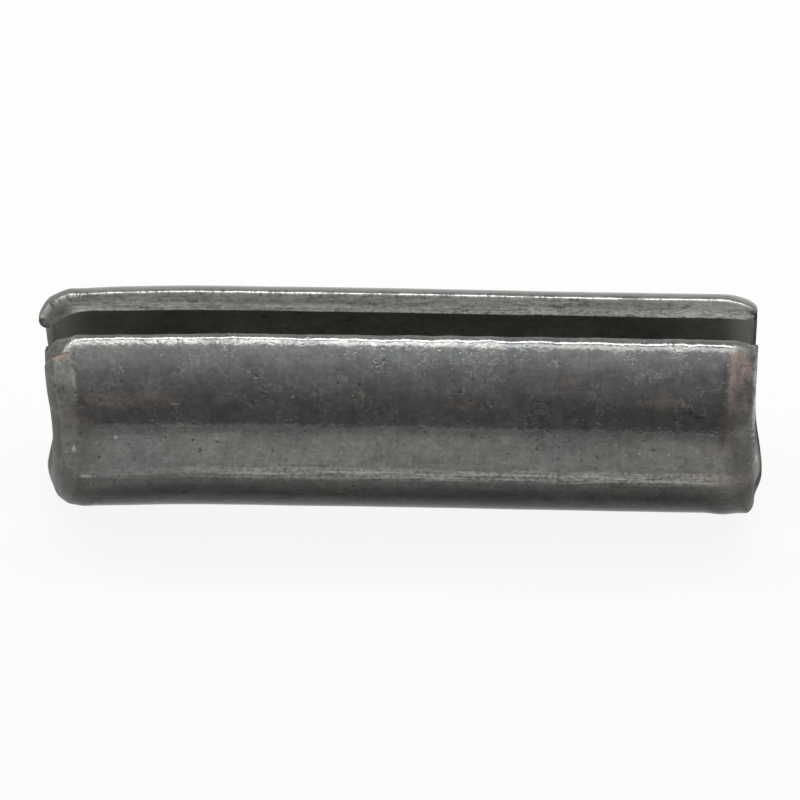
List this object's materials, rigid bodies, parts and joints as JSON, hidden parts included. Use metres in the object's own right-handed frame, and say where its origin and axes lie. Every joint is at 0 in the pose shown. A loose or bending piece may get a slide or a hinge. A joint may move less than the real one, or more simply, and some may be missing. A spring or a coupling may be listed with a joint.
{
  "type": "spring pin",
  "caption": "Slotted spring pin: a dark tempered steel sheet rolled into a C-shaped sleeve with an open slot along it, a swaged lead end and a bevelled tail end.",
  "frame": {"origin": "on the axis of the tube at mid length", "axes": "+X along the axis from the swaged lead end to the bevelled tail end, +Z from the axis out through the middle of the slot, as the pin lies on a table"},
  "size_m": [0.035, 0.0106, 0.0103],
  "materials": {
    "black_oxide_steel": "dark tempered steel under a worn oxide film, satin, mottled, with fine pits and lightly worn bright edges"
  },
  "bodies": {
    "root": {"slotted_tube": "black_oxide_steel"}
  },
  "joints": []
}
